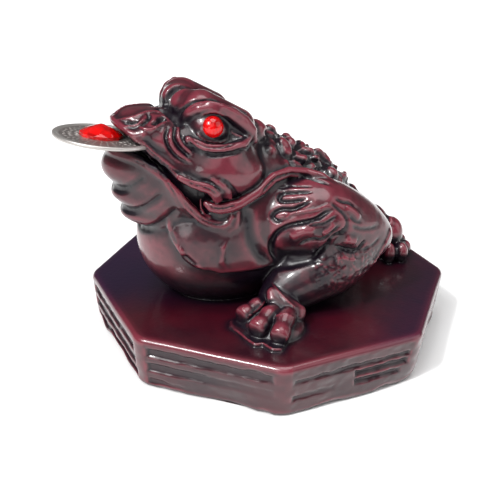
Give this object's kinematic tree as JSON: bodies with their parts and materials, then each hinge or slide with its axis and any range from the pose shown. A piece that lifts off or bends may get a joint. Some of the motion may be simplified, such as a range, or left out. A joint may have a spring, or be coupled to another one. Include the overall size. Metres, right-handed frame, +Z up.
{
  "type": "money toad figure",
  "caption": "Cast resin money toad crouching on an octagonal plinth with grooved sides, holding a coin set with a red stone in its mouth.",
  "frame": {"origin": "middle of the plinth's flat underside", "axes": "+Z up, the toad faces -Y, its left side is +X"},
  "size_m": [0.0958, 0.1071, 0.072],
  "materials": {
    "lacquered_resin": "dark maroon cast resin with black rubbed into the hollows, under a gloss lacquer",
    "red_glass": "bright red cut glass with a foil back, glossy",
    "worn_silver": "worn silver-coloured metal, darkened in the relief"
  },
  "bodies": {
    "root": {"toad_on_plinth": "lacquered_resin", "left_eye_bead": "red_glass", "right_eye_bead": "red_glass", "coin": "worn_silver", "coin_stone": "red_glass"}
  },
  "joints": []
}
